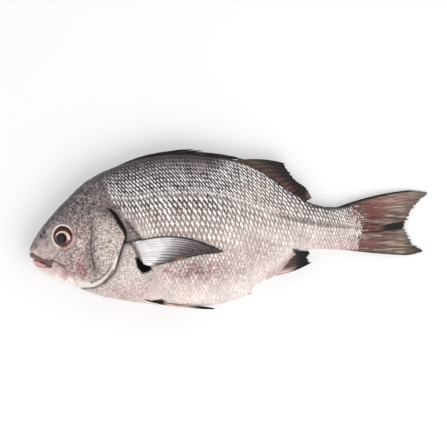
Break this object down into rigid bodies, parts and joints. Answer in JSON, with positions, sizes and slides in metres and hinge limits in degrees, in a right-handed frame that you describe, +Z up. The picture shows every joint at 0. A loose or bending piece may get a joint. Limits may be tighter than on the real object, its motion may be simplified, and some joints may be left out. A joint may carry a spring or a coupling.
{
  "type": "whole raw fish",
  "caption": "Whole raw sea bream lying on its side, deep oval body with overlapping scales, folded spiny back fin, forked tail and glossy eyes.",
  "frame": {"origin": "centre of the bounding box in plan, on the surface that the fish lies on", "axes": "+Z up out of the left flank, which lies uppermost; -X towards the snout; +Y towards the back and its dorsal fin"},
  "size_m": [0.3312, 0.1328, 0.0464],
  "materials": {
    "skin": "wet skin of the head and body: grey-brown on the back, pinkish white below, smooth and glossy",
    "scales": "wet silvery-white scales with grey edges, darker along the back",
    "fins": "wet fin skin over bony rays, dark grey-brown with paler roots",
    "gills": "wet dark red flesh in the gill slit and the mouth",
    "eye": "wet eyeball: clear cornea over a brown and gold iris with a large black pupil"
  },
  "bodies": {
    "root": {"fish": "skin", "eye_left": "eye", "eye_right": "eye"}
  },
  "joints": []
}
